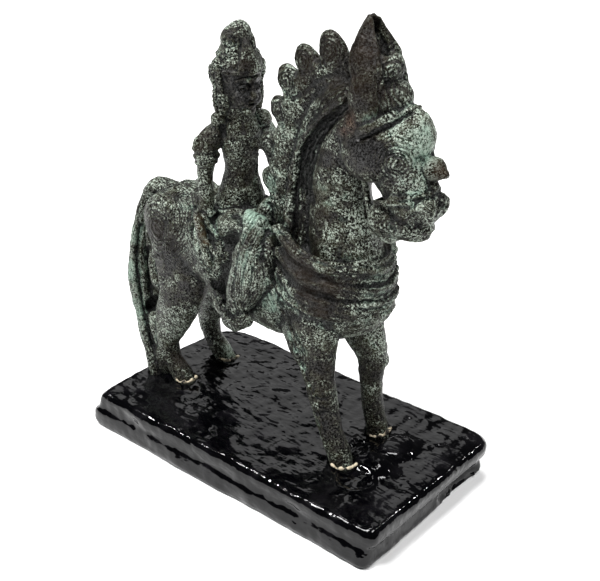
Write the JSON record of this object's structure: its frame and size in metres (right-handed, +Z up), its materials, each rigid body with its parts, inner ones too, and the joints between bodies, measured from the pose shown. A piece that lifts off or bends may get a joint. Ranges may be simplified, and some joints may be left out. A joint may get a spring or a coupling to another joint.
{
  "type": "equestrian statuette",
  "caption": "Small patinated bronze rider on a caparisoned horse with a scalloped mane, cast in one piece and fixed by its hooves to a glossy black painted block.",
  "frame": {"origin": "on the block's underside, straight below the middle of its top", "axes": "+X the way the horse faces, along the block; +Y the horse's left; +Z up"},
  "size_m": [0.1112, 0.0575, 0.1274],
  "materials": {
    "bronze": "dark green-grey patina with pale green verdigris in the hollows and brown worn high places",
    "painted_block": "thick glossy black paint with brush ripples and scratches"
  },
  "bodies": {
    "root": {"horse_and_rider": "bronze", "base": "painted_block"}
  },
  "joints": []
}
